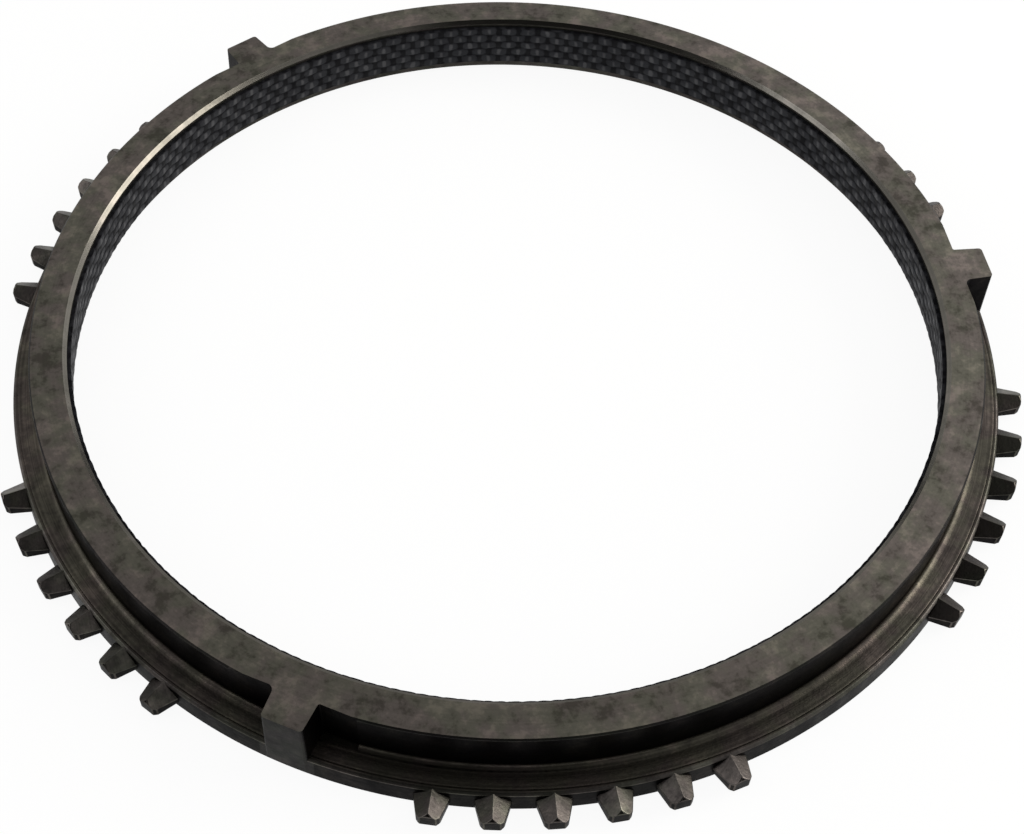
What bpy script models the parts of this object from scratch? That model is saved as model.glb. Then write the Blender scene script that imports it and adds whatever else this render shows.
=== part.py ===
"""Synchronizer ring of a heavy gearbox: one forged and machined steel ring with three lugs
and six groups of chamfered blocking teeth, and a woven friction lining bonded in its cone.

Metres, +Z up along the ring's axis, origin on the axis in the plane of the lower face.
The lug and tooth side looks up, and the cone opens downwards. The first lug lies along +X.
"""

import math

import bmesh
import bpy
from mathutils import Matrix, Vector

# Friction cone and its lining: the radius is that of the lining's upper edge
FRICTION_RADIUS = 0.07675
CONE_ANGLE = math.radians(8.5)
LINING_UPPER_INSET = 0.0014
LINING_LOWER_INSET = 0.0024
LINING_THICKNESS = 0.0004
BOND_GAP = 0.0003
BORE_CHAMFER = 0.00065
MOUTH_HEIGHT = 0.0021
MOUTH_FLARE = 0.0009

# Turned ring: the wall's thickness is taken at the upper face
RING_HEIGHT = 0.0138
WALL_THICKNESS = 0.0066
WALL_EDGE = 0.0003
FOOT_FILLET = 0.0013
FLANGE_HEIGHT = 0.0047
FLANGE_WIDTH = 0.0045
FLANGE_EDGE = 0.0004
SIDE_DRAFT = math.radians(4.0)
LOWER_CHAMFER = 0.00045
GROOVE_INSET = 0.0009
GROOVE_WIDTH = 0.0003
GROOVE_DEPTH = 0.00012
FACING_STOCK = 0.0005
TURNED_STEPS = 127

# Woven face of the lining
WEAVE_ROWS = 5
YARNS_AROUND = 240
WEAVE_RELIEF = 0.00013

# Blocking teeth
LUG_COUNT = 3
GROUPS_PER_LUG = 2
TEETH_PER_GROUP = 6
TOOTH_PITCH = math.radians(6.0)
TOOTH_LENGTH = 0.0042
TOOTH_TIP_WIDTH = 0.0034
TOOTH_ROOT_WIDTH = 0.0058
TOOTH_UNDERSIDE = 0.0014
TOOTH_TIP_EDGE = 0.0005
TOOTH_TIP_CORNER = 0.0004
RIDGE_DROP = 0.00008
ROOF_SLOPE = math.radians(34.0)
TOOTH_ROOT_DEPTH = 0.0010

# Lugs and the flats milled beside them
LUG_LENGTH = 0.00442
LUG_TIP_WIDTH = 0.00685
LUG_BASE_WIDTH = 0.00725
LUG_FILLET_LEFT = 0.0004
LUG_FILLET_RIGHT = 0.0012
LUG_CORNER = 0.0006
LUG_DRAFT = math.radians(1.5)
LUG_FOOT = 0.0010
LUG_ROOT_DEPTH = 0.0030
LUG_SEAT = 0.00003
FLAT_DEPTH = 0.0008
FLAT_LENGTH = 0.0100
FLAT_FLOOR_RISE = 0.0001
ARC_STEPS = 4

# Finish
STEEL_COLOUR = (0.105, 0.095, 0.085, 1.0)
LINING_COLOUR = (0.022, 0.024, 0.028, 1.0)
SHARP_ANGLE = math.radians(30.0)


def clear_scene():
    for obj in list(bpy.data.objects):
        bpy.data.objects.remove(obj, do_unlink=True)


def make_collection(name):
    collection = bpy.data.collections.new(name)
    bpy.context.scene.collection.children.link(collection)
    return collection


def make_material(name, colour, roughness, metallic):
    material = bpy.data.materials.new(name)
    material.use_nodes = True
    shader = material.node_tree.nodes["Principled BSDF"]
    shader.inputs["Base Color"].default_value = colour
    shader.inputs["Roughness"].default_value = roughness
    shader.inputs["Metallic"].default_value = metallic
    material.diffuse_color = colour
    return material


def arc(centre, radius, start, end, steps=ARC_STEPS):
    """Points of an arc about centre, from one angle in degrees to another."""
    points = []
    for step in range(steps + 1):
        angle = math.radians(start + (end - start) * step / steps)
        x = centre[0] + radius * math.cos(angle)
        y = centre[1] + radius * math.sin(angle)
        points.append((x, y))
    return points


def friction_radius(z):
    """Radius of the lining's inner face, which widens downwards."""
    top = RING_HEIGHT - LINING_UPPER_INSET
    return FRICTION_RADIUS + (top - z) * math.tan(CONE_ANGLE)


def lining_back_radius(z):
    return friction_radius(z) + LINING_THICKNESS


def bore_radius(z):
    return lining_back_radius(z) + BOND_GAP


def wall_radius():
    return bore_radius(RING_HEIGHT) + WALL_THICKNESS


def side_radius(z):
    """Radius of the flange's drafted side, which widens downwards."""
    return wall_radius() + FLANGE_WIDTH + (FLANGE_HEIGHT - z) * math.tan(SIDE_DRAFT)


def flat_distance():
    return wall_radius() - FLAT_DEPTH


def lug_reach():
    return wall_radius() + LUG_LENGTH


def tooth_tip_radius():
    return side_radius(FLANGE_HEIGHT) + TOOTH_LENGTH


def groove_profile():
    half = GROOVE_WIDTH / 2
    radius = side_radius(FLANGE_HEIGHT) - GROOVE_INSET
    return [
        (radius - half, FLANGE_HEIGHT),
        (radius, FLANGE_HEIGHT - GROOVE_DEPTH),
        (radius + half, FLANGE_HEIGHT),
    ]


def outer_profile():
    """The blank's outer side from its upper face, with stock on it, down to the lower face."""
    wall = wall_radius()
    foot_centre = (wall + FOOT_FILLET, FLANGE_HEIGHT + FOOT_FILLET)
    side_top = FLANGE_HEIGHT - FLANGE_EDGE
    blank_edge = WALL_EDGE + FACING_STOCK
    points = [(wall - blank_edge, RING_HEIGHT + FACING_STOCK), (wall, RING_HEIGHT - WALL_EDGE)]
    points += arc(foot_centre, FOOT_FILLET, 180, 270)
    points += groove_profile()
    points += [
        (side_radius(side_top) - FLANGE_EDGE, FLANGE_HEIGHT),
        (side_radius(side_top), side_top),
        (side_radius(LOWER_CHAMFER), LOWER_CHAMFER),
        (side_radius(LOWER_CHAMFER) - LOWER_CHAMFER, 0),
    ]
    return points


def cone_profile():
    """The blank's bore from the lower face up to its upper face."""
    upper = RING_HEIGHT - BORE_CHAMFER
    blank_chamfer = BORE_CHAMFER + FACING_STOCK
    return [
        (bore_radius(MOUTH_HEIGHT) + MOUTH_FLARE, 0),
        (bore_radius(MOUTH_HEIGHT), MOUTH_HEIGHT),
        (bore_radius(upper), upper),
        (bore_radius(upper) + blank_chamfer, upper + blank_chamfer),
    ]


def turned_object(name, profile, steps, collection):
    """A closed profile of (radius, height) points turned about Z by a Screw modifier."""
    bm = bmesh.new()
    verts = [bm.verts.new((radius, 0, height)) for radius, height in profile]
    for start, end in zip(verts, verts[1:] + verts[:1]):
        bm.edges.new((start, end))
    mesh = bpy.data.meshes.new(name)
    bm.to_mesh(mesh)
    bm.free()
    obj = bpy.data.objects.new(name, mesh)
    collection.objects.link(obj)
    screw = obj.modifiers.new("Turn", "SCREW")
    screw.axis = "Z"
    screw.steps = steps
    screw.render_steps = steps
    screw.use_merge_vertices = True
    screw.merge_threshold = 0.00001
    return obj


def cut_away(bm, point, normal):
    """Cuts a closed bmesh by a plane, drops what lies along the normal and closes the cut."""
    geometry = bm.verts[:] + bm.edges[:] + bm.faces[:]
    cut = bmesh.ops.bisect_plane(
        bm, geom=geometry, plane_co=point, plane_no=normal, clear_outer=True
    )
    edges = [item for item in cut["geom_cut"] if isinstance(item, bmesh.types.BMEdge)]
    bmesh.ops.holes_fill(bm, edges=edges, sides=0)


def tooth_root_radius():
    return side_radius(TOOTH_UNDERSIDE)


def make_tooth():
    """A tooth along +X: a block cut by two flanks, two roof faces and its broken tip edges."""
    ridge = FLANGE_HEIGHT - RIDGE_DROP
    inside = tooth_root_radius() - TOOTH_ROOT_DEPTH
    outside = tooth_tip_radius()
    size = Vector((outside - inside, 2 * TOOTH_ROOT_WIDTH, ridge - TOOTH_UNDERSIDE))
    centre = Vector(((outside + inside) / 2, 0, (ridge + TOOTH_UNDERSIDE) / 2))
    bm = bmesh.new()
    placement = Matrix.Translation(centre) @ Matrix.Diagonal(size.to_4d())
    bmesh.ops.create_cube(bm, size=1, matrix=placement)
    taper = (TOOTH_ROOT_WIDTH - TOOTH_TIP_WIDTH) / 2 / TOOTH_LENGTH
    tip = Vector((outside, TOOTH_TIP_WIDTH / 2, 0))
    peak = Vector((outside, 0, ridge))
    for side in (1, -1):
        mirror = Vector((1, side, 1))
        cut_away(bm, tip * mirror, Vector((taper, 1, 0)) * mirror)
        corner = tip - Vector((TOOTH_TIP_CORNER, 0, 0))
        cut_away(bm, corner * mirror, Vector((1, 1, 0)) * mirror)
        cut_away(bm, peak, Vector((0, math.sin(ROOF_SLOPE), math.cos(ROOF_SLOPE))) * mirror)
    cut_away(bm, peak - Vector((TOOTH_TIP_EDGE, 0, 0)), Vector((1, 0, 1)))
    return bm


def tooth_angles():
    """Angles of the teeth: groups centred midway between the lugs' axes and half pitches."""
    groups = LUG_COUNT * GROUPS_PER_LUG
    angles = []
    for group in range(groups):
        centre = (group + 0.5) * math.tau / groups
        for index in range(TEETH_PER_GROUP):
            angles.append(centre + (index - (TEETH_PER_GROUP - 1) / 2) * TOOTH_PITCH)
    return angles


def lug_angles():
    return [index * math.tau / LUG_COUNT for index in range(LUG_COUNT)]


def lug_half_outline(fillet):
    """Plan of one half of a lug, from inside the ring out to the corner of its end."""
    base = LUG_BASE_WIDTH / 2
    tip = LUG_TIP_WIDTH / 2
    fillet_centre = (flat_distance() + fillet - LUG_SEAT, base + fillet)
    corner_centre = (lug_reach() - LUG_CORNER, tip - LUG_CORNER)
    inside = flat_distance() - LUG_ROOT_DEPTH
    points = [(inside, base + fillet)]
    points += arc(fillet_centre, fillet, 180, 270)
    points += arc(corner_centre, LUG_CORNER, 90, 0, 3)
    return points


def make_lug():
    """A lug along +X, drawn down from its plan, with its sides and end leaning out downwards.

    It stands above the turned blank, and both are then faced off together.
    """
    blank_top = RING_HEIGHT + 2 * FACING_STOCK
    left = lug_half_outline(LUG_FILLET_LEFT)
    right = lug_half_outline(LUG_FILLET_RIGHT)
    outline = left + [(x, -y) for x, y in reversed(right)]
    bm = bmesh.new()
    verts = [bm.verts.new((x, y, blank_top)) for x, y in outline]
    face = bm.faces.new(verts)
    drawn = bmesh.ops.extrude_face_region(bm, geom=[face])
    lowered = [item for item in drawn["geom"] if isinstance(item, bmesh.types.BMVert)]
    drop = blank_top - LUG_FOOT
    bmesh.ops.translate(bm, verts=lowered, vec=(0, 0, -drop))
    lean = drop * math.tan(LUG_DRAFT)
    for vert in lowered:
        vert.co.y += math.copysign(lean, vert.co.y)
        if vert.co.x > lug_reach() - 1.5 * LUG_CORNER:
            vert.co.x += lean
    bmesh.ops.triangulate(bm, faces=bm.faces[:])
    bmesh.ops.recalc_face_normals(bm, faces=bm.faces[:])
    return bm


def make_flat_cutter(side, floor):
    """A box that mills the wall flat on one side of a lug along +X, from within the lug."""
    reach = tooth_tip_radius() - flat_distance()
    headroom = RING_HEIGHT
    run_in = LUG_BASE_WIDTH / 4
    size = Vector((reach, FLAT_LENGTH + run_in, RING_HEIGHT + headroom - floor))
    middle = side * (FLAT_LENGTH - run_in) / 2
    centre = Vector((flat_distance() + reach / 2, middle, floor + size.z / 2))
    bm = bmesh.new()
    placement = Matrix.Translation(centre) @ Matrix.Diagonal(size.to_4d())
    bmesh.ops.create_cube(bm, size=1, matrix=placement)
    return bm


def make_facing_cutter():
    """A block over the whole ring that faces the blank and its lugs off at the ring's height."""
    width = 3 * tooth_tip_radius()
    size = Vector((width, width, RING_HEIGHT))
    centre = Vector((0, 0, RING_HEIGHT + size.z / 2))
    bm = bmesh.new()
    placement = Matrix.Translation(centre) @ Matrix.Diagonal(size.to_4d())
    bmesh.ops.create_cube(bm, size=1, matrix=placement)
    return bm


def pattern_object(name, piece, angles, collection):
    """One object that holds a turned copy of the piece at each angle. It frees the piece."""
    single = bpy.data.meshes.new(name + "_single")
    piece.to_mesh(single)
    piece.free()
    bm = bmesh.new()
    for angle in angles:
        known = len(bm.verts)
        bm.from_mesh(single)
        bm.verts.ensure_lookup_table()
        turn = Matrix.Rotation(angle, 3, "Z")
        bmesh.ops.rotate(bm, cent=(0, 0, 0), matrix=turn, verts=bm.verts[known:])
    mesh = bpy.data.meshes.new(name)
    bm.to_mesh(mesh)
    bm.free()
    bpy.data.meshes.remove(single)
    obj = bpy.data.objects.new(name, mesh)
    obj.hide_render = True
    obj.display_type = "WIRE"
    collection.objects.link(obj)
    return obj


def combine(obj, other, operation):
    """Every operand is closed. The exact solver leaves open edges along the lugs at some sizes."""
    boolean = obj.modifiers.new(other.name, "BOOLEAN")
    boolean.operation = operation
    boolean.solver = "MANIFOLD"
    boolean.object = other


def settle(obj, material):
    """Replaces the object's mesh by its evaluated one, with smooth turned faces."""
    bpy.context.view_layer.update()
    graph = bpy.context.evaluated_depsgraph_get()
    mesh = bpy.data.meshes.new_from_object(obj.evaluated_get(graph))
    obj.modifiers.clear()
    obj.data = mesh
    mesh.name = obj.name
    mesh.materials.clear()
    mesh.materials.append(material)
    mesh.shade_smooth()
    mesh.set_sharp_from_angle(angle=SHARP_ANGLE)


def build_ring_body(parts, tools):
    body = turned_object("ring_body", outer_profile() + cone_profile(), TURNED_STEPS, parts)
    wall_foot = FLANGE_HEIGHT + FOOT_FILLET
    floors = {1: FLANGE_HEIGHT + FLAT_FLOOR_RISE, -1: wall_foot + FLAT_FLOOR_RISE}
    for side, floor in floors.items():
        name = "flat_cutter_left" if side > 0 else "flat_cutter_right"
        cutter = pattern_object(name, make_flat_cutter(side, floor), lug_angles(), tools)
        combine(body, cutter, "DIFFERENCE")
    combine(body, pattern_object("lugs", make_lug(), lug_angles(), tools), "UNION")
    combine(body, pattern_object("facing_cutter", make_facing_cutter(), [0], tools), "DIFFERENCE")
    combine(body, pattern_object("teeth", make_tooth(), tooth_angles(), tools), "UNION")
    settle(body, make_material("dark_steel", STEEL_COLOUR, 0.42, 0.85))
    return body


def row_pitch():
    return (RING_HEIGHT - LINING_UPPER_INSET - LINING_LOWER_INSET) / WEAVE_ROWS


def lining_rows():
    """Heights of the woven face's points, from its upper edge down to its lower edge."""
    top = RING_HEIGHT - LINING_UPPER_INSET
    middles = [top - (row + 0.5) * row_pitch() for row in range(WEAVE_ROWS)]
    return [top] + middles + [LINING_LOWER_INSET]


def lining_profile():
    rows = lining_rows()
    back = [(lining_back_radius(z), z) for z in (rows[0], rows[-1])]
    face = [(friction_radius(z), z) for z in reversed(rows)]
    return back + face


def weave_height(angle, z):
    """Relief of the weave: crossings of two yarn sets stand out on every second cell."""
    down = (RING_HEIGHT - LINING_UPPER_INSET - z) / row_pitch() - 0.5
    around = angle * YARNS_AROUND / math.tau
    return WEAVE_RELIEF * math.cos(math.pi * around) * math.cos(math.pi * down)


def raise_weave(mesh):
    for vert in mesh.vertices:
        radius = math.hypot(vert.co.x, vert.co.y)
        if radius > friction_radius(vert.co.z) + LINING_THICKNESS / 2:
            continue
        angle = math.atan2(vert.co.y, vert.co.x)
        scale = (radius - weave_height(angle, vert.co.z)) / radius
        vert.co.x *= scale
        vert.co.y *= scale


def build_friction_lining(parts):
    lining = turned_object("friction_lining", lining_profile(), YARNS_AROUND, parts)
    settle(lining, make_material("woven_carbon", LINING_COLOUR, 0.6, 0.0))
    raise_weave(lining.data)
    return lining


def main():
    clear_scene()
    parts = make_collection("synchronizer_ring")
    tools = make_collection("cutters")
    build_ring_body(parts, tools)
    build_friction_lining(parts)


main()
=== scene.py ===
"""Looks of a synchronizer ring: the machined steel ring and the woven lining in its cone."""
import math
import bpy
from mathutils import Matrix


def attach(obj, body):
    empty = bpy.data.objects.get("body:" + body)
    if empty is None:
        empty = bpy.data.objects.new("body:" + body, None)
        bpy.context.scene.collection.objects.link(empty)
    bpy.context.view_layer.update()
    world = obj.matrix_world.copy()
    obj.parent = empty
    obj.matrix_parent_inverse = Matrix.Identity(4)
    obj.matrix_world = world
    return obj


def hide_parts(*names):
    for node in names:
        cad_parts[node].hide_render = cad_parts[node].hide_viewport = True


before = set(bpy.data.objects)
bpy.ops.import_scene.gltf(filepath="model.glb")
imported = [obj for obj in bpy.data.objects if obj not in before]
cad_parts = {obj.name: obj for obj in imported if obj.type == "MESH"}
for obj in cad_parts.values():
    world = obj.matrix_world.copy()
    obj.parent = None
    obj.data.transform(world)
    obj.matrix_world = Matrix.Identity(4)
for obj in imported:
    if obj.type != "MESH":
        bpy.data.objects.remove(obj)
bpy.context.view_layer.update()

from types import SimpleNamespace

import bpy
import numpy as np
from mathutils import Vector

# Sizes of the ring in metres, as in its solids
FRICTION_RADIUS = 0.07675
CONE_SLOPE = math.tan(math.radians(8.5))
LINING_UPPER_INSET = 0.0014
LINING_LOWER_INSET = 0.0024
LINING_THICKNESS = 0.0004
BOND_GAP = 0.0003
BORE_CHAMFER = 0.00065
MOUTH_HEIGHT = 0.0021
MOUTH_FLARE = 0.0009
RING_HEIGHT = 0.0138
WALL_THICKNESS = 0.0066
WALL_EDGE = 0.0003
FOOT_FILLET = 0.0013
FLANGE_HEIGHT = 0.0047
FLANGE_WIDTH = 0.0045
FLANGE_EDGE = 0.0004
SIDE_SLOPE = math.tan(math.radians(4.0))
LOWER_CHAMFER = 0.00045
GROOVE_INSET = 0.0009
GROOVE_WIDTH = 0.0003
FACING_STOCK = 0.0005

WEAVE_ROWS = 5
YARNS_AROUND = 240
WEAVE_RELIEF = 0.00013

TOOTH_PITCH = math.radians(6.0)
TEETH_PER_GROUP = 6
TOOTH_GROUPS = 6
TOOTH_LENGTH = 0.0042
TOOTH_TIP_WIDTH = 0.0034
TOOTH_ROOT_WIDTH = 0.0058
TOOTH_UNDERSIDE = 0.0014
TOOTH_TIP_EDGE = 0.0005
TOOTH_TIP_CORNER = 0.0004
RIDGE_DROP = 0.00008
ROOF_SLOPE = math.radians(34.0)
TOOTH_ROOT_DEPTH = 0.0010

LUG_COUNT = 3
LUG_LENGTH = 0.00442
LUG_TIP_WIDTH = 0.00685
LUG_BASE_WIDTH = 0.00725
LUG_FILLET_LEFT = 0.0004
LUG_FILLET_RIGHT = 0.0012
LUG_CORNER = 0.0006
LUG_SLOPE = math.tan(math.radians(1.5))
LUG_FOOT = 0.0010
LUG_ROOT_DEPTH = 0.0030
LUG_SEAT = 0.00003
FLAT_DEPTH = 0.0008
FLAT_LENGTH = 0.0100
FLAT_FLOOR_RISE = 0.0001

# Sizes of the looks alone: finer steps, eased edges and a shallower groove
TURNED_STEPS = 360
STEPS_PER_YARN = 8
GROOVE_DEPTH = 0.00006
FLAT_RUN_OUT = 0.0120
EDGE_EASE = 0.00005
WALL_EASE_REACH = 0.00007
FLANGE_EASE = 0.00006
FLANGE_EASE_REACH = 0.00008
SIDE_BULGE = 0.00001
TOOTH_BEVEL = 0.00016
TOOTH_BEVEL_START = 0.0001
CLOTH_CLEARANCE = 0.00001
LATHE_WELD = 0.000002
JOINT_WELD = 0.000001
STEEL_SMOOTHING = math.radians(28)
CLOTH_SMOOTHING = math.radians(60)

# Yarns round the ring and yarns across it, in shares of one crossing
ROUND_YARN = SimpleNamespace(half_width=0.47, fullness=1.1, sunk=0.62, wave=0.5)
CROSS_YARN = SimpleNamespace(half_width=0.36, fullness=0.9, sunk=0.95, wave=0.45)
HOLLOW_DEPTH = -1.25

WHITE = (1.0, 1.0, 1.0, 1.0)
OLIVE_HEAT = (0.965, 1.0, 0.9, 1.0)
ROSY_HEAT = (1.05, 0.985, 0.99, 1.0)

RING_FINISHES = {
    # Painted shade: the round wall is the same turned steel as the flange, made near black for the
    # shade and dark reflections on it.
    "painted_shade_steel": dict(
        tones=((0.003, 0.0027, 0.003), (0.006, 0.0054, 0.0056), (0.014, 0.012, 0.011)),
        roughness=0.42,
        tool_marks=0.25,
        grain=0.02,
        glancing=0.68,
    ),
    "lapped_steel": dict(
        tones=((0.06, 0.056, 0.048), (0.112, 0.103, 0.092), (0.175, 0.155, 0.137)),
        roughness=0.36,
        tool_marks=0.06,
        grain=0.012,
        glancing=0.8,
    ),
    "turned_steel": dict(
        tones=((0.046, 0.041, 0.038), (0.068, 0.061, 0.054), (0.1, 0.088, 0.076)),
        roughness=0.34,
        tool_marks=0.32,
        grain=0.03,
        glancing=0.5,
    ),
    # Painted highlight: the bore chamfer is lighter than the turned steel round it, for its bright
    # line; its low roughness is its own.
    "painted_highlight_chamfer": dict(
        tones=((0.11, 0.105, 0.096), (0.125, 0.12, 0.11), (0.15, 0.14, 0.13)),
        roughness=0.2,
        tool_marks=0.1,
        grain=0.005,
        glancing=0.45,
        heated=0.1,
    ),
    "milled_steel": dict(
        tones=((0.018, 0.0175, 0.018), (0.025, 0.0245, 0.024), (0.036, 0.034, 0.032)),
        roughness=0.4,
        tool_marks=0.1,
        grain=0.03,
        glancing=0.6,
    ),
    # Painted shade: the flange's side and the teeth's flanks and tips, darker than the roofs of
    # the same steel.
    "painted_shade_side": dict(
        tones=((0.005, 0.0047, 0.005), (0.009, 0.0085, 0.0085), (0.018, 0.0165, 0.015)),
        roughness=0.4,
        tool_marks=0.3,
        grain=0.03,
        glancing=0.6,
    ),
    # Painted light: the teeth's roofs, lighter than their flanks of the same steel.
    "painted_light_roof": dict(
        tones=((0.055, 0.052, 0.049), (0.085, 0.08, 0.074), (0.125, 0.115, 0.104)),
        roughness=0.42,
        tool_marks=0.1,
        grain=0.04,
        glancing=0.95,
    ),
    "bored_steel": dict(
        tones=((0.04, 0.038, 0.036), (0.06, 0.057, 0.053), (0.085, 0.08, 0.074)),
        roughness=0.6,
        tool_marks=0.2,
        grain=0.02,
        glancing=0.5,
    ),
    # Painted highlight: edges made lighter, for the light lines along the teeth's bevels and the
    # flange's rim.
    "painted_edge_highlight": dict(
        tones=((0.05, 0.047, 0.044), (0.083, 0.079, 0.073), (0.135, 0.127, 0.116)),
        roughness=0.34,
        tool_marks=0.1,
        grain=0.02,
        glancing=0.45,
    ),
}


def friction_radius(height):
    """Radius of the cone's worn face, which opens downwards."""
    return FRICTION_RADIUS + (RING_HEIGHT - LINING_UPPER_INSET - height) * CONE_SLOPE


def bore_radius(height):
    """Radius of the steel cone behind the lining."""
    return friction_radius(height) + LINING_THICKNESS + BOND_GAP


WALL_RADIUS = bore_radius(RING_HEIGHT) + WALL_THICKNESS


def side_radius(height):
    """Radius of the flange's side between the teeth, a little wider at its foot."""
    return WALL_RADIUS + FLANGE_WIDTH + (FLANGE_HEIGHT - height) * SIDE_SLOPE


FLAT_DISTANCE = WALL_RADIUS - FLAT_DEPTH
LUG_REACH = WALL_RADIUS + LUG_LENGTH
TIP_RADIUS = side_radius(FLANGE_HEIGHT) + TOOTH_LENGTH
GROOVE_RADIUS = side_radius(FLANGE_HEIGHT) - GROOVE_INSET


# Hand tools

def only(*objects):
    """Leaves just these objects selected, the first of them active."""
    bpy.ops.object.select_all(action="DESELECT")
    for obj in objects:
        obj.select_set(True)
    bpy.context.view_layer.objects.active = objects[0]


def edit(obj, kind="VERT"):
    only(obj)
    bpy.ops.object.mode_set(mode="EDIT")
    bpy.ops.mesh.select_mode(type=kind)


def leave_edit():
    bpy.ops.object.mode_set(mode="OBJECT")


def pick(obj, kind, test):
    """Selects in edit mode just the edges or polygons for which test(item) holds."""
    edit(obj, {"edges": "EDGE", "polygons": "FACE"}[kind])
    bpy.ops.mesh.select_all(action="DESELECT")
    leave_edit()
    for item in getattr(obj.data, kind):
        if test(item):
            item.select = True
    bpy.ops.object.mode_set(mode="EDIT")


def draw_outline(name, points):
    """An outline drawn point by point: one vertex is pulled along from the first to the last."""
    bpy.ops.object.select_all(action="DESELECT")
    bpy.ops.mesh.primitive_plane_add(size=0.001)
    obj = bpy.context.object
    obj.name = obj.data.name = name
    bpy.ops.object.mode_set(mode="EDIT")
    bpy.ops.mesh.select_mode(type="VERT")
    bpy.ops.mesh.select_all(action="SELECT")
    bpy.ops.mesh.merge(type="CENTER")
    points = [Vector(point) for point in points]
    bpy.ops.transform.translate(value=points[0])
    for start, end in zip(points, points[1:]):
        bpy.ops.mesh.extrude_region_move(TRANSFORM_OT_translate={"value": end - start})
    bpy.ops.mesh.select_all(action="SELECT")
    return obj


def turn(name, profile, steps):
    """A closed section of (radius, height) points turned all the way round the ring's axis."""
    obj = draw_outline(name, [(radius, 0, height) for radius, height in profile])
    bpy.ops.mesh.edge_face_add()
    bpy.ops.mesh.delete(type="ONLY_FACE")
    leave_edit()
    lathe = obj.modifiers.new("lathe", "SCREW")
    lathe.axis = "Z"
    lathe.steps = lathe.render_steps = steps
    lathe.use_merge_vertices = True
    lathe.merge_threshold = LATHE_WELD
    bpy.ops.object.modifier_apply(modifier=lathe.name)
    edit(obj)
    bpy.ops.mesh.select_all(action="SELECT")
    bpy.ops.mesh.normals_make_consistent(inside=False)
    leave_edit()
    return obj


def block(name, low, high):
    """A box between two corners, its place kept in its mesh."""
    low, high = Vector(low), Vector(high)
    bpy.ops.object.select_all(action="DESELECT")
    bpy.ops.mesh.primitive_cube_add(size=1, location=(low + high) / 2, scale=high - low)
    obj = bpy.context.object
    obj.name = obj.data.name = name
    bpy.ops.object.transform_apply(location=True, rotation=True, scale=True)
    return obj


def slice_off(obj, point, normal):
    """Cuts the piece by a plane, drops what lies along the normal and closes the cut."""
    edit(obj)
    bpy.ops.mesh.select_all(action="SELECT")
    bpy.ops.mesh.bisect(plane_co=point, plane_no=normal, use_fill=True, clear_outer=True)
    leave_edit()


def copies_round(piece, angles):
    """One object of turned copies of the piece, each modelled from its own mesh."""
    made = []
    for angle in angles:
        twin = piece.copy()
        twin.data = piece.data.copy()
        bpy.context.scene.collection.objects.link(twin)
        twin.rotation_euler.z = angle
        made.append(twin)
    bpy.data.objects.remove(piece)
    only(*made)
    bpy.ops.object.transform_apply(location=False, rotation=True, scale=False)
    bpy.ops.object.join()
    return bpy.context.object


def join_solid(body, other, operation):
    """Joins or cuts two closed pieces, then drops the second."""
    cut = body.modifiers.new(other.name, "BOOLEAN")
    cut.operation = operation
    cut.solver = "MANIFOLD"
    cut.object = other
    only(body)
    bpy.ops.object.modifier_apply(modifier=cut.name)
    bpy.data.objects.remove(other)


def arc(centre, radius, start, end, steps):
    """Points of an arc from one angle in degrees to another."""
    made = []
    for step in range(steps + 1):
        angle = math.radians(start + (end - start) * step / steps)
        across, up = radius * math.cos(angle), radius * math.sin(angle)
        made.append((centre[0] + across, centre[1] + up))
    return made


# The steel ring

def blank_section():
    """The turned blank's section, with stock on its upper face: down the outside, up the cone."""
    wall_top = RING_HEIGHT - WALL_EDGE
    foot = (WALL_RADIUS + FOOT_FILLET, FLANGE_HEIGHT + FOOT_FILLET)
    groove = GROOVE_WIDTH / 2
    side_top = FLANGE_HEIGHT - FLANGE_EDGE
    side = side_radius(side_top)
    shoulder = side - FLANGE_EDGE
    upper = RING_HEIGHT - BORE_CHAMFER
    stock = BORE_CHAMFER + FACING_STOCK
    return [
        (WALL_RADIUS - WALL_EDGE - FACING_STOCK, RING_HEIGHT + FACING_STOCK),
        (WALL_RADIUS - EDGE_EASE, wall_top + EDGE_EASE),
        (WALL_RADIUS, wall_top - WALL_EASE_REACH),
        *arc(foot, FOOT_FILLET, 180, 270, 10),
        (GROOVE_RADIUS - groove, FLANGE_HEIGHT),
        (GROOVE_RADIUS, FLANGE_HEIGHT - GROOVE_DEPTH),
        (GROOVE_RADIUS + groove, FLANGE_HEIGHT),
        (shoulder - FLANGE_EASE_REACH, FLANGE_HEIGHT),
        (shoulder + FLANGE_EASE, FLANGE_HEIGHT - FLANGE_EASE),
        (side - EDGE_EASE, side_top + EDGE_EASE),
        (side + SIDE_BULGE, side_top - FLANGE_EASE_REACH),
        (side_radius(LOWER_CHAMFER), LOWER_CHAMFER),
        (side_radius(LOWER_CHAMFER) - LOWER_CHAMFER, 0),
        (bore_radius(MOUTH_HEIGHT) + MOUTH_FLARE, 0),
        (bore_radius(MOUTH_HEIGHT), MOUTH_HEIGHT),
        (bore_radius(upper), upper),
        (bore_radius(upper) + stock, upper + stock),
    ]


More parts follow.
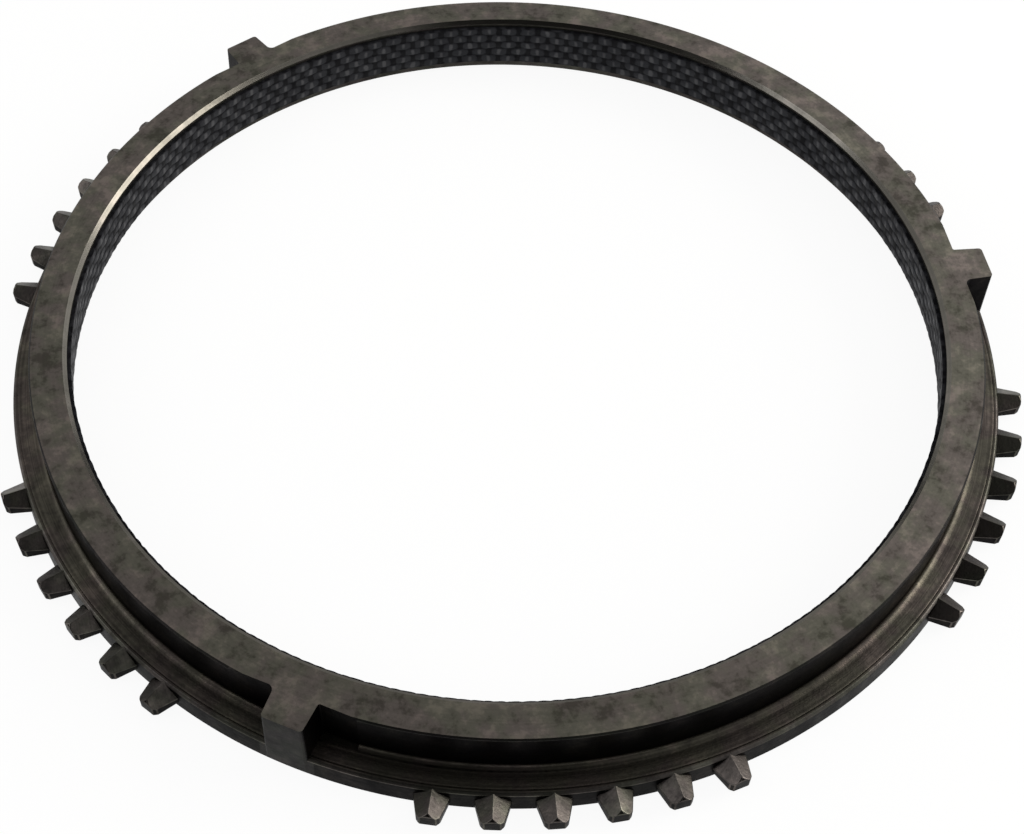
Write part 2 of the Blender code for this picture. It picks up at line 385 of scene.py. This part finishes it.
def make_tooth():
    """A blocking tooth along +X: a block with tapered flanks, a roof and its tip edges broken."""
    ridge = FLANGE_HEIGHT - RIDGE_DROP
    inside = side_radius(TOOTH_UNDERSIDE) - TOOTH_ROOT_DEPTH
    width = TOOTH_ROOT_WIDTH
    tooth = block("blocking_teeth", (inside, -width, TOOTH_UNDERSIDE), (TIP_RADIUS, width, ridge))
    taper = (TOOTH_ROOT_WIDTH - TOOTH_TIP_WIDTH) / 2 / TOOTH_LENGTH
    for side in (1, -1):
        flank = Vector((TIP_RADIUS, side * TOOTH_TIP_WIDTH / 2, 0))
        slice_off(tooth, flank, (taper, side, 0))
        slice_off(tooth, flank - Vector((TOOTH_TIP_CORNER, 0, 0)), (1, side, 0))
        roof = (0, side * math.sin(ROOF_SLOPE), math.cos(ROOF_SLOPE))
        slice_off(tooth, (TIP_RADIUS, 0, ridge), roof)
    slice_off(tooth, (TIP_RADIUS - TOOTH_TIP_EDGE, 0, ridge), (1, 0, 1))
    give_finishes(tooth)
    outside = inside + TOOTH_BEVEL_START

    def stands_out(edge):
        return max(tooth.data.vertices[end].co.x for end in edge.vertices) > outside

    pick(tooth, "edges", stands_out)
    # The bevelled edges take the painted edge highlight.
    highlight_and_gloss = list(RING_FINISHES).index("painted_edge_highlight")
    bpy.ops.mesh.bevel(offset=TOOTH_BEVEL, segments=2, affect="EDGES", material=highlight_and_gloss)
    leave_edit()
    return tooth


def tooth_angles():
    """Angles of the teeth, in groups that stand between the lugs."""
    made = []
    for group in range(TOOTH_GROUPS):
        centre = (group + 0.5) * math.tau / TOOTH_GROUPS
        for index in range(TEETH_PER_GROUP):
            made.append(centre + (index - (TEETH_PER_GROUP - 1) / 2) * TOOTH_PITCH)
    return made


def lug_half_plan(fillet):
    """One side of a lug seen from above: its fillet at the wall, then its rounded outer corner."""
    base = LUG_BASE_WIDTH / 2
    tip = LUG_TIP_WIDTH / 2
    points = [(FLAT_DISTANCE - LUG_ROOT_DEPTH, base + fillet)]
    points += arc((FLAT_DISTANCE + fillet - LUG_SEAT, base + fillet), fillet, 180, 270, 8)
    points += arc((LUG_REACH - LUG_CORNER, tip - LUG_CORNER), LUG_CORNER, 90, 0, 6)
    return points


def make_lug():
    """A lug along +X, drawn in plan above the blank and pulled down with its sides leaning out."""
    top = RING_HEIGHT + 2 * FACING_STOCK
    plan = lug_half_plan(LUG_FILLET_LEFT)
    plan += [(x, -y) for x, y in reversed(lug_half_plan(LUG_FILLET_RIGHT))]
    lug = draw_outline("lugs", [(x, y, top) for x, y in plan])
    bpy.ops.mesh.edge_face_add()
    drop = top - LUG_FOOT
    bpy.ops.mesh.extrude_region_move(TRANSFORM_OT_translate={"value": (0, 0, -drop)})
    leave_edit()
    lean = drop * LUG_SLOPE
    for vertex in lug.data.vertices:
        if vertex.co.z < RING_HEIGHT:
            vertex.co.y += math.copysign(lean, vertex.co.y)
            if vertex.co.x > LUG_REACH - 1.5 * LUG_CORNER:
                vertex.co.x += lean
    edit(lug)
    bpy.ops.mesh.select_all(action="SELECT")
    bpy.ops.mesh.quads_convert_to_tris()
    bpy.ops.mesh.normals_make_consistent(inside=False)
    leave_edit()
    return lug


def make_flat_cutter(side):
    """The block that mills the wall flat on one side of a lug along +X.

    One flat goes down to the flange and stops short, the other runs out in the round wall.
    """
    floor = FLANGE_HEIGHT + FLAT_FLOOR_RISE + (0 if side > 0 else FOOT_FILLET)
    run_in = LUG_BASE_WIDTH / 4
    length = FLAT_LENGTH if side > 0 else FLAT_RUN_OUT
    ends = sorted((-side * run_in, side * length))
    low = (FLAT_DISTANCE, ends[0], floor)
    high = (TIP_RADIUS, ends[1], 2 * RING_HEIGHT)
    return block("flat_cutter", low, high)


def give_finishes(piece):
    """Gives the piece every finish of the ring, with the first one all over."""
    for name in RING_FINISHES:
        piece.data.materials.append(bpy.data.materials[name])


def build_steel_ring():
    ring = turn("steel_ring", blank_section(), TURNED_STEPS)
    give_finishes(ring)
    lug_angles = [index * math.tau / LUG_COUNT for index in range(LUG_COUNT)]
    for side in (1, -1):
        join_solid(ring, copies_round(make_flat_cutter(side), lug_angles), "DIFFERENCE")
    join_solid(ring, copies_round(make_lug(), lug_angles), "UNION")
    width = 2 * TIP_RADIUS
    facing = block("facing_cutter", (-width, -width, RING_HEIGHT), (width, width, 2 * RING_HEIGHT))
    join_solid(ring, facing, "DIFFERENCE")
    join_solid(ring, copies_round(make_tooth(), tooth_angles()), "UNION")
    edit(ring)
    bpy.ops.mesh.select_all(action="SELECT")
    bpy.ops.mesh.remove_doubles(threshold=JOINT_WELD)
    leave_edit()
    only(ring)
    bpy.ops.object.shade_smooth_by_angle(angle=STEEL_SMOOTHING)
    flats = ring.modifiers.new("flats", "WEIGHTED_NORMAL")
    flats.keep_sharp = True
    flats.weight = 80
    bpy.ops.object.modifier_apply(modifier=flats.name)
    return ring


# The woven lining

def lining_section():
    """Section of the lining: up its worn face in fine steps, then down its bonded back.

    The back reaches the steel but for a hair, so no light comes through behind the cloth.
    """
    low = LINING_LOWER_INSET
    high = RING_HEIGHT - LINING_UPPER_INSET
    rows = WEAVE_ROWS * STEPS_PER_YARN
    face = []
    for step in range(rows + 1):
        height = low + (high - low) * step / rows
        face.append((friction_radius(height), height))
    reach = LINING_THICKNESS + BOND_GAP - CLOTH_CLEARANCE
    back = [(friction_radius(high) + reach, high)]
    back += [(friction_radius(low) + reach, low)]
    return face + back


def uneven(seed, around, along, spread):
    """A smooth random shift that changes from yarn to yarn, the same each run."""
    table = np.random.default_rng(seed).normal(0, spread, (YARNS_AROUND, WEAVE_ROWS + 2))
    column = np.floor(around).astype(int)
    row = np.clip(np.floor(along).astype(int), 0, WEAVE_ROWS)
    right, up = around - column, np.clip(along - row, 0, 1)

    def at_column(number):
        yarn = number % YARNS_AROUND
        return table[yarn, row] * (1 - up) + table[yarn, row + 1] * up

    return at_column(column) * (1 - right) + at_column(column + 1) * right


def crown_height(yarn, across, swell, over):
    """Height of one set of yarns. Across is 0 in a yarn's middle and over is 1 on its crown."""
    bulge = np.sqrt(np.clip(1 - (across / yarn.half_width) ** 2, 0, 1)) * yarn.fullness
    return bulge - yarn.sunk + swell + over * yarn.wave


def weave(around, along):
    """Height of plain weave, about -1 to 1, how far a round yarn is on top, and where its glint is
    painted, 0 to 1.

    Places are counted in yarns. The yarns round the ring stand full, and those across it are
    narrower and lie lower, so dark hollows are left between the full crowns. No two crowns are
    quite the same.
    """
    swell = uneven(3, around, along, 0.08)
    sway, drift = uneven(1, around, along, 0.06), uneven(2, around, along, 0.04)
    around, along = around + sway, along + drift
    across_row = along - np.floor(along) - 0.5
    across_column = around - np.floor(around) - 0.5
    row_over = np.where(np.floor(along) % 2 < 1, 1, -1) * np.sin(np.pi * around)
    column_over = np.where(np.floor(around) % 2 < 1, -1, 1) * np.sin(np.pi * along)
    row = crown_height(ROUND_YARN, across_row, swell, row_over)
    column = crown_height(CROSS_YARN, across_column, -swell, column_over)
    height = np.clip(np.maximum(row, column), HOLLOW_DEPTH, 1.0)
    row_on_top = np.clip((row - column) * 2.5 + 0.5, 0, 1)
    glint = np.clip(row_over, 0, 1) ** 3 * (1 - (2 * across_row) ** 4)
    return height, row_on_top, glint


def build_lining():
    """The lining turned as a sleeve, with the weave raised on its worn face.

    Its mesh carries three measures of the weave, from which the cloth's finish paints shade in the
    hollows, sheen on the round yarns and glints on their crowns. The cut edges and the back, where
    there is no weave to see, have one even value of each.
    """
    lining = turn("woven_lining", lining_section(), YARNS_AROUND * STEPS_PER_YARN)
    mesh = lining.data
    places = np.empty(len(mesh.vertices) * 3, np.float32)
    mesh.vertices.foreach_get("co", places)
    places = places.reshape(-1, 3)
    low = LINING_LOWER_INSET
    high = RING_HEIGHT - LINING_UPPER_INSET
    radius = np.hypot(places[:, 0], places[:, 1])
    along = (places[:, 2] - low) / (high - low) * WEAVE_ROWS
    around = np.arctan2(places[:, 1], places[:, 0]) / math.tau * YARNS_AROUND
    around = np.round(around * STEPS_PER_YARN) / STEPS_PER_YARN
    along = np.round(along * STEPS_PER_YARN) / STEPS_PER_YARN
    height, row_on_top, glint = weave(around, along)
    on_face = radius < friction_radius(places[:, 2]) + LINING_THICKNESS / 2
    raised = np.where(on_face, WEAVE_RELIEF * height, 0)
    places[:, :2] *= ((radius - raised) / radius)[:, None]
    mesh.vertices.foreach_set("co", places.reshape(-1))
    told = {"yarn_height": (height, -0.3), "row_on_top": (row_on_top, 0.5), "glint": (glint, 0)}
    for name, (values, at_cut_edge) in told.items():
        values = np.where(on_face, values, at_cut_edge)
        attribute = mesh.attributes.new(name, "FLOAT", "POINT")
        attribute.data.foreach_set("value", values.astype(np.float32))
    mesh.update()
    only(lining)
    bpy.ops.object.shade_smooth_by_angle(angle=CLOTH_SMOOTHING)
    return lining


# Finishes

class Value:
    """A socket of a finish that takes part in sums: each operation adds its Math node."""

    def __init__(self, finish, socket):
        self.finish, self.socket = finish, socket

    def math(self, operation, *others):
        inputs = dict(enumerate((self, *others)))
        return self.finish.node("Math", {"operation": operation}, inputs)

    def turned_math(self, operation, first):
        return self.finish.node("Math", {"operation": operation}, {0: first, 1: self})

    def __add__(self, other):
        return self.math("ADD", other)

    def __radd__(self, other):
        return self.turned_math("ADD", other)

    def __sub__(self, other):
        return self.math("SUBTRACT", other)

    def __rsub__(self, other):
        return self.turned_math("SUBTRACT", other)

    def __mul__(self, other):
        return self.math("MULTIPLY", other)

    def __rmul__(self, other):
        return self.turned_math("MULTIPLY", other)


class Finish:
    """A material or world under construction."""

    def __init__(self, owner):
        self.owner = owner
        owner.use_nodes = True
        self.tree = owner.node_tree
        self.tree.nodes.clear()

    def node(self, kind, settings=None, inputs=None, output=0):
        """Adds a node, sets it, then gives its sockets their values or links."""
        made = self.tree.nodes.new("ShaderNode" + kind)
        for key, value in (settings or {}).items():
            setattr(made, key, value)
        for key, value in (inputs or {}).items():
            if isinstance(value, Value):
                self.tree.links.new(value.socket, made.inputs[key])
            else:
                made.inputs[key].default_value = value
        return Value(self, made.outputs[output])

    def part(self, vector, axis):
        return self.node("SeparateXYZ", None, {0: vector}, "XYZ"[axis])

    def joined(self, x, y, z):
        return self.node("CombineXYZ", None, {0: x, 1: y, 2: z})

    def mix(self, factor, first, second):
        """Colour from first to second as the factor goes from 0 to 1."""
        return self.node("Mix", {"data_type": "RGBA"}, {0: factor, 6: first, 7: second}, 2)

    def noise(self, vector, scale, detail=3.0, roughness=0.55):
        inputs = {"Vector": vector, "Scale": scale, "Detail": detail, "Roughness": roughness}
        return self.node("TexNoise", None, inputs)

    def between(self, value, low, high, to_low=0.0, to_high=1.0):
        """The value's range low to high stretched to another range, and held there."""
        settings = {"interpolation_type": "SMOOTHSTEP"}
        inputs = {0: value, 1: low, 2: high, 3: to_low, 4: to_high}
        return self.node("MapRange", settings, inputs)

    def end(self, shader):
        kind = "OutputWorld" if isinstance(self.owner, bpy.types.World) else "OutputMaterial"
        last = self.tree.nodes.new("ShaderNode" + kind)
        self.tree.links.new(shader.socket, last.inputs["Surface"])
        return self.owner


def steel(name, tones, roughness, tool_marks, grain, glancing, heated=1.0):
    """Steel in three tones, dark, usual and light, with tool lines round the axis and fine grain.

    The heat treatment leaves it olive in some places and rosy in others, by as much as heated
    says. Glancing is how much of the gloss at a flat angle is left.
    """
    finish = Finish(bpy.data.materials.new(name))
    place = finish.node("TexCoord", output="Object")
    x, y, z = (finish.part(place, axis) for axis in range(3))
    radius = (x * x + y * y).math("SQRT")
    drift = finish.noise(place, 55.0, 2.0)
    clouds = finish.noise(place, 330.0, 4.0, 0.66)
    hues = finish.noise(place, 150.0, 3.0, 0.6)
    specks = finish.noise(place, 1900.0, 3.0, 0.6)
    lines = finish.noise(finish.joined(radius + z * 0.8, drift * 0.0004, 0.0), 3200.0, 3.0, 0.7)
    dark, usual, light = (tone + (1.0,) for tone in tones)
    shade = clouds * 0.6 + drift * 0.3 + specks * 0.1
    colour = finish.mix(finish.between(shade, 0.38, 0.5), dark, usual)
    colour = finish.mix(finish.between(shade, 0.5, 0.62), colour, light)
    rosy = finish.between(hues, 0.4, 0.6, 0.5 - heated / 2, 0.5 + heated / 2)
    heat = finish.mix(rosy, OLIVE_HEAT, ROSY_HEAT)
    colour = finish.node("VectorMath", {"operation": "MULTIPLY"}, {0: colour, 1: heat})
    scored = finish.between(lines, 0.35, 0.65, 1.0 - tool_marks, 1.0 + tool_marks * 0.5)
    colour = finish.node("VectorMath", {"operation": "SCALE"}, {0: colour, "Scale": scored})
    height = lines * tool_marks * 0.02 + specks * grain
    normal = finish.node("Bump", None, {"Strength": 1.0, "Distance": 0.001, "Height": height})
    rough = finish.between(shade, 0.35, 0.65, roughness + 0.06, roughness - 0.05)
    shader = finish.node(
        "BsdfPrincipled",
        None,
        {
            "Base Color": colour,
            "Metallic": 1.0,
            "Roughness": rough,
            "Specular Tint": (glancing, glancing, glancing, 1.0),
            "Normal": normal,
        },
    )
    return finish.end(shader)


def woven_carbon():
    """Carbon cloth: grey crowns over hollows painted black as shade, round yarns painted lighter
    than those across as sheen, painted glints on the crowns, and fine fibres along each yarn.
    """
    finish = Finish(bpy.data.materials.new("woven_carbon"))
    place = finish.node("TexCoord", output="Object")
    x, y, z = (finish.part(place, axis) for axis in range(3))
    height = finish.node("Attribute", {"attribute_name": "yarn_height"}, None, "Fac")
    row = finish.node("Attribute", {"attribute_name": "row_on_top"}, None, "Fac")
    angle = y.math("ARCTAN2", x)
    fibres_round = finish.noise(finish.joined(angle * 2.0, z * 90.0, 0.0), 60.0, 2.0)
    fibres_up = finish.noise(finish.joined(angle * 8.0, z * 12.0, 0.0), 60.0, 2.0)
    fibres = fibres_round * row + fibres_up * (1 - row)
    cloth_lumps = finish.noise(place, 620.0, 3.0, 0.65)
    highlight_and_gloss = finish.noise(place, 240.0, 2.0)
    glint = finish.node("Attribute", {"attribute_name": "glint"}, None, "Fac")
    crown = finish.between(height + (cloth_lumps - 0.5) * 1.4, -0.9, 0.5)
    # Painted sheen and shade: round yarns on top are painted lighter than the yarns across, and
    # the hollows darker.
    painted_sheen_and_shade = finish.between(row + (cloth_lumps - 0.5) * 1.3, 0.1, 0.9) * (0.3 + crown * 0.7)
    base = finish.mix(painted_sheen_and_shade, (0.0035, 0.0035, 0.0045, 1.0), (0.021, 0.0215, 0.0245, 1.0))
    # Painted glints: lighter spots on the round yarns' crowns, which are also a little glossier
    # there.
    shine = finish.between(glint + (highlight_and_gloss - 0.5) * 1.4 + (cloth_lumps - 0.5) * 0.6, 0.35, 1.0)
    colour = finish.mix(shine, base, (0.062, 0.062, 0.066, 1.0))
    lumps = fibres * 0.35 + cloth_lumps
    normal = finish.node("Bump", None, {"Strength": 0.8, "Distance": 0.00015, "Height": lumps})
    rough = finish.between(crown + (highlight_and_gloss - 0.5) * 1.5, 0.3, 1.3, 0.8, 0.5)
    shader = finish.node(
        "BsdfPrincipled",
        None,
        {
            "Base Color": colour,
            "Metallic": 0.0,
            "Roughness": rough,
            "Specular IOR Level": 0.06,
            "Normal": normal,
        },
    )
    return finish.end(shader)


# The studio

def seen_plainly(finish):
    """1 for rays of the camera, of reflections and through glass, which see plain white."""
    camera, glossy, through = (
        finish.node("LightPath", output=ray)
        for ray in ("Is Camera Ray", "Is Glossy Ray", "Is Transmission Ray")
    )
    return camera.math("MAXIMUM", glossy).math("MAXIMUM", through)


def build_floor():
    """A wide pale floor that looks white and still takes the ring's shadow."""
    bpy.ops.object.select_all(action="DESELECT")
    bpy.ops.mesh.primitive_plane_add(size=6.0, location=(0, 0, 0))
    floor = bpy.context.object
    floor.name = "studio_floor"
    finish = Finish(bpy.data.materials.new("white_floor"))
    cover = finish.node("BsdfDiffuse", None, {"Color": (0.95, 0.95, 0.94, 1.0)})
    white = finish.node("Emission", None, {"Color": WHITE, "Strength": 1.0})
    shader = finish.node("MixShader", None, {0: seen_plainly(finish) * 0.92, 1: cover, 2: white})
    floor.data.materials.append(finish.end(shader))


def build_sky():
    """An even light all round, and the room that the steel mirrors.

    The room is dark in front, light behind and to the right, and a little darker straight above.
    """
    world = bpy.data.worlds.new("studio")
    bpy.context.scene.world = world
    sky = Finish(world)
    plain = sky.node("Background", None, {"Color": WHITE, "Strength": 0.75})
    direction = sky.node("TexCoord", output="Generated")
    x, y, z = (sky.part(direction, axis) for axis in range(3))
    overhead = sky.between(y, -0.5, 0.45, 0.04, 0.67) + sky.between(x, 0.1, 0.4, 0.0, 0.55)
    overhead = overhead - sky.between(z, 0.82, 0.95, 0.0, 0.3)
    horizon = sky.between(y, -0.8, 0.1, 0.12, 1.0) + sky.between(x, 0.3, 0.9, 0.0, 0.5)
    level = sky.between(z, 0.1, 0.45) * (overhead - horizon) + horizon
    room = sky.node("Background", None, {"Color": WHITE, "Strength": level})
    white = sky.node("Background", None, {"Color": WHITE, "Strength": 1.0})
    camera_ray = sky.node("LightPath", output="Is Camera Ray")
    seen = sky.node("MixShader", None, {0: camera_ray, 1: room, 2: white})
    sky.end(sky.node("MixShader", None, {0: seen_plainly(sky), 1: plain, 2: seen}))


def hang_lamps():
    """A strong soft lamp at the right and a weak one at the left, both aimed at the ring."""
    for name, place, size, power, colour in (
        ("right_softbox", (0.92, 0.05, 0.47), 0.62, 7.0, (1.0, 0.96, 0.89)),
        ("left_softbox", (-0.78, 0.0, 0.56), 0.4, 0.95, (0.98, 0.98, 1.0)),
    ):
        lamp = bpy.data.lights.new(name, "AREA")
        lamp.energy, lamp.size, lamp.color = power, size, colour
        holder = bpy.data.objects.new(name, lamp)
        bpy.context.scene.collection.objects.link(holder)
        holder.location = place
        aim = Vector((0, 0, 0)) - holder.location
        holder.rotation_euler = aim.to_track_quat("-Z", "Y").to_euler()


def set_camera():
    """The camera stands where the photograph was taken from, shifted to frame it the same."""
    bpy.ops.object.camera_add(location=(-0.03055, -0.18587, 0.23274))
    camera = bpy.context.object
    camera.rotation_euler = [math.radians(turned) for turned in (37.22, -0.277, -7.079)]
    camera.data.lens = 57.01109
    camera.data.sensor_width = 36.0
    camera.data.shift_x = 0.0403326
    camera.data.shift_y = -0.0127501
    camera.data.clip_start = 0.01
    bpy.context.scene.camera = camera
    bpy.context.scene.view_settings.view_transform = "Standard"


def dress(piece, node):
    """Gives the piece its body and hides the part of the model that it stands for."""
    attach(piece, "root")
    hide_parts(node)


def face_place(face):
    """Where a face of the ring lies and looks: slope and outward are parts of its normal."""
    x, y, height = face.center
    radius = math.hypot(x, y)
    outward = (face.normal.x * x + face.normal.y * y) / radius
    step = math.tau / LUG_COUNT
    turned = (math.atan2(y, x) + step / 2) % step - step / 2
    aside = abs(radius * math.sin(turned))
    return SimpleNamespace(
        radius=radius, height=height, slope=face.normal.z, outward=outward, aside=aside
    )


def paint_faces(ring, finish, test):
    """Gives one finish to those faces, still in the wall's painted shade, for which test(place)
    holds.
    """
    pick(ring, "polygons", lambda face: face.material_index == 0 and test(face_place(face)))
    ring.active_material_index = list(RING_FINISHES).index(finish)
    bpy.ops.object.material_slot_assign()
    leave_edit()


def finish_ring(ring):
    """Finishes the ring face by face. What no row takes keeps the painted shade of the wall."""
    small, margin = 0.00002, 0.0001
    chamfer_foot = RING_HEIGHT - BORE_CHAMFER - small
    wall_edge_foot = RING_HEIGHT - WALL_EDGE - margin
    fillet_top = FLANGE_HEIGHT + FOOT_FILLET
    rim = side_radius(FLANGE_HEIGHT - FLANGE_EDGE)
    shoulder = rim - FLANGE_EDGE - small
    edge_inside, edge_outside = rim - 0.0006, rim + margin
    edge_foot, edge_top = FLANGE_HEIGHT - FLANGE_EDGE - margin, FLANGE_HEIGHT + small
    mouth = bore_radius(0) + MOUTH_FLARE
    half_lug = LUG_BASE_WIDTH / 2

    def upper_face(f):
        return f.slope > 0.99 and f.height > RING_HEIGHT - small

    def bore_chamfer(f):
        return 0.3 < f.slope < 0.95 and f.height > chamfer_foot and f.outward < 0

    def lug_end(f):
        return f.aside < half_lug and f.radius > WALL_RADIUS and f.outward > 0.7

    def flange_and_fillet(f):
        return f.slope > 0.2 and f.height < fillet_top and f.radius < shoulder

    def underside(f):
        return f.slope < -0.5

    def bore(f):
        return f.radius < mouth and f.slope < 0

    def wall_edge(f):
        return f.height > wall_edge_foot and f.slope > 0.1

    def flange_edge(f):
        at_edge = edge_inside < f.radius < edge_outside and edge_foot < f.height < edge_top
        return at_edge and 0.1 < f.slope < 0.98

    def roof(f):
        return f.slope > 0.75 and f.height < FLANGE_HEIGHT and f.radius > rim

    def side(f):
        return f.radius > rim

    # Roofs take painted light and sides painted shade; the bore chamfer and the flange's edge take
    # painted highlights.
    for finish, test in (
        ("lapped_steel", upper_face),
        ("painted_highlight_chamfer", bore_chamfer),
        ("milled_steel", lug_end),
        ("turned_steel", flange_and_fillet),
        ("turned_steel", underside),
        ("bored_steel", bore),
        ("milled_steel", wall_edge),
        ("painted_edge_highlight", flange_edge),
        ("painted_light_roof", roof),
        ("painted_shade_side", side),
    ):
        paint_faces(ring, finish, test)


def main():
    set_camera()
    build_floor()
    build_sky()
    hang_lamps()
    for name, values in RING_FINISHES.items():
        steel(name, **values)
    ring = build_steel_ring()
    finish_ring(ring)
    dress(ring, "ring_body")
    lining = build_lining()
    lining.data.materials.clear()
    lining.data.materials.append(woven_carbon())
    dress(lining, "friction_lining")


main()
